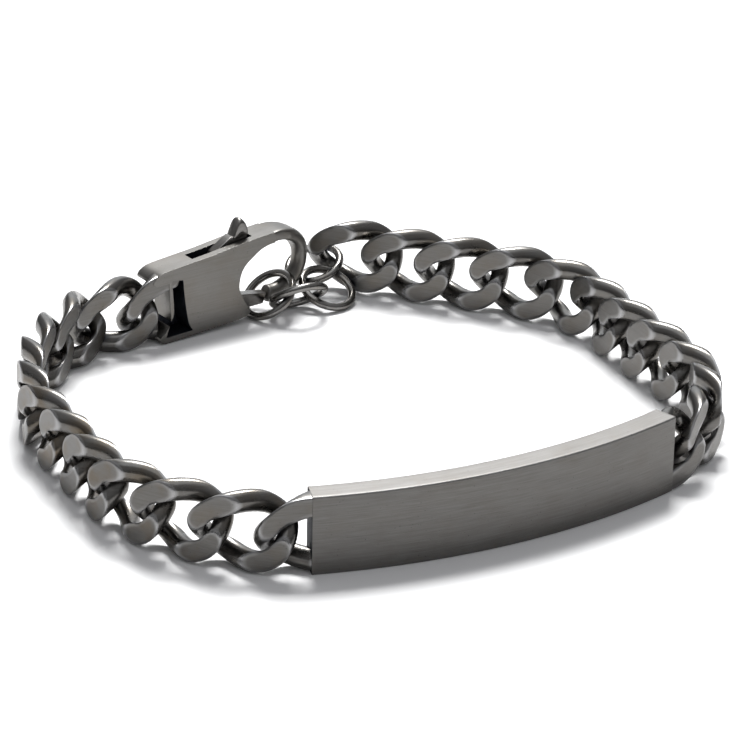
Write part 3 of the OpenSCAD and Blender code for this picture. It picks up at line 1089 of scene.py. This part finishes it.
def surroundings():
    """Studio round the bracelet: bright overhead, paler behind, and a dark band at the horizon
    that the polished wires pick up."""
    world = bpy.data.worlds.new("Studio")
    bpy.context.scene.world = world
    world.use_nodes = True
    tree = world.node_tree
    back = tree.nodes["Background"]
    coordinates = tree.nodes.new("ShaderNodeTexCoord")
    split = tree.nodes.new("ShaderNodeSeparateXYZ")
    tree.links.new(coordinates.outputs["Generated"], split.inputs[0])
    ramp = tree.nodes.new("ShaderNodeValToRGB")
    tree.links.new(split.outputs["Z"], ramp.inputs[0])
    points = ramp.color_ramp.elements
    points[0].position, points[0].color = 0.0, (0.10, 0.10, 0.11, 1)
    points[1].position, points[1].color = 1.0, (1.05, 1.06, 1.1, 1)
    for place, level in ((0.12, 0.16), (0.3, 0.75), (0.55, 1.0)):
        point = points.new(place)
        point.color = (level, level * 1.005, level * 1.03, 1)
    tree.links.new(ramp.outputs[0], back.inputs["Color"])
    back.inputs["Strength"].default_value = stage().sky


class BRACELET_OT_stage(bpy.types.Operator):
    """Build the floor, the lights and the camera"""
    bl_idname = "bracelet.stage"
    bl_label = "Stage"

    def execute(self, context):
        s = stage()
        mesh = bpy.data.meshes.new("floor")
        corners = [(x * FLOOR_REACH, y * FLOOR_REACH, 0)
                   for x, y in ((-1, -1), (1, -1), (1, 1), (-1, 1))]
        mesh.from_pydata(corners, [], [(0, 1, 2, 3)])
        floor = bpy.data.objects.new("floor", mesh)
        context.scene.collection.objects.link(floor)
        white, tree, shader = new_material("Pale floor")
        shader.inputs["Base Color"].default_value = rgba(finish().floor)
        shader.inputs["Roughness"].default_value = 0.7
        shader.inputs["Specular IOR Level"].default_value = 0.1
        mesh.materials.append(white)
        surroundings()
        key = soft_light("key", s.key, 0.2, KEY_PLACE)
        panel = soft_light("panel", s.panel, 0.5, PANEL_PLACE, COOL)
        canopy = soft_light("canopy", s.canopy, 0.5, CANOPY_PLACE, COOL)
        panel.visible_diffuse = canopy.visible_diffuse = False

        camera = bpy.data.objects.new("camera", bpy.data.cameras.new("camera"))
        context.scene.collection.objects.link(camera)
        camera.data.sensor_width, camera.data.lens = 36, s.lens
        camera.data.clip_start, camera.data.clip_end = 0.01, 10
        a, e = s.azimuth, s.elevation
        back = np.array([math.sin(a) * math.cos(e), -math.cos(a) * math.cos(e), math.sin(e)])
        right = np.array([math.cos(a), math.sin(a), 0])
        up = np.cross(back, right)
        turned = math.cos(s.roll) * right + math.sin(s.roll) * up
        upright = math.cos(s.roll) * up - math.sin(s.roll) * right
        pose = np.eye(4)
        pose[:3, :3] = np.stack([turned, upright, back], axis=1)
        pose[:3, 3] = plate_origin() + np.array(s.place)
        camera.matrix_world = Matrix(pose.tolist())
        context.scene.camera = camera
        context.scene.view_settings.view_transform = "Standard"
        return {"FINISHED"}


OPERATORS = (BRACELET_OT_links, BRACELET_OT_plate, BRACELET_OT_clasp, BRACELET_OT_lever,
             BRACELET_OT_rings, BRACELET_OT_stage)


class BRACELET_PT_panel(bpy.types.Panel):
    """Lists the bracelet's pieces and its settings"""
    bl_idname = "BRACELET_PT_panel"
    bl_label = "Identity bracelet"
    bl_space_type = "VIEW_3D"
    bl_region_type = "UI"
    bl_category = "Bracelet"

    def draw(self, context):
        for operator in OPERATORS:
            self.layout.operator(operator.bl_idname)
        for label, group in SETTINGS.items():
            box = self.layout.box()
            for prop in group.bl_rna.properties:
                if prop.identifier not in {"rna_type", "name"}:
                    box.prop(getattr(context.scene, label), prop.identifier)


def register():
    for group in SETTINGS.values():
        bpy.utils.register_class(group)
    for operator in OPERATORS:
        bpy.utils.register_class(operator)
    bpy.utils.register_class(BRACELET_PT_panel)
    for label, group in SETTINGS.items():
        setattr(bpy.types.Scene, label, bpy.props.PointerProperty(type=group))


def unregister():
    for label in SETTINGS:
        delattr(bpy.types.Scene, label)
    bpy.utils.unregister_class(BRACELET_PT_panel)
    for operator in reversed(OPERATORS):
        bpy.utils.unregister_class(operator)
    for group in reversed(list(SETTINGS.values())):
        bpy.utils.unregister_class(group)


def main():
    """Builds every piece."""
    register()
    for build in (bpy.ops.bracelet.links, bpy.ops.bracelet.plate, bpy.ops.bracelet.clasp,
                  bpy.ops.bracelet.lever, bpy.ops.bracelet.rings, bpy.ops.bracelet.stage):
        build()


if __name__ == "__main__":
    main()
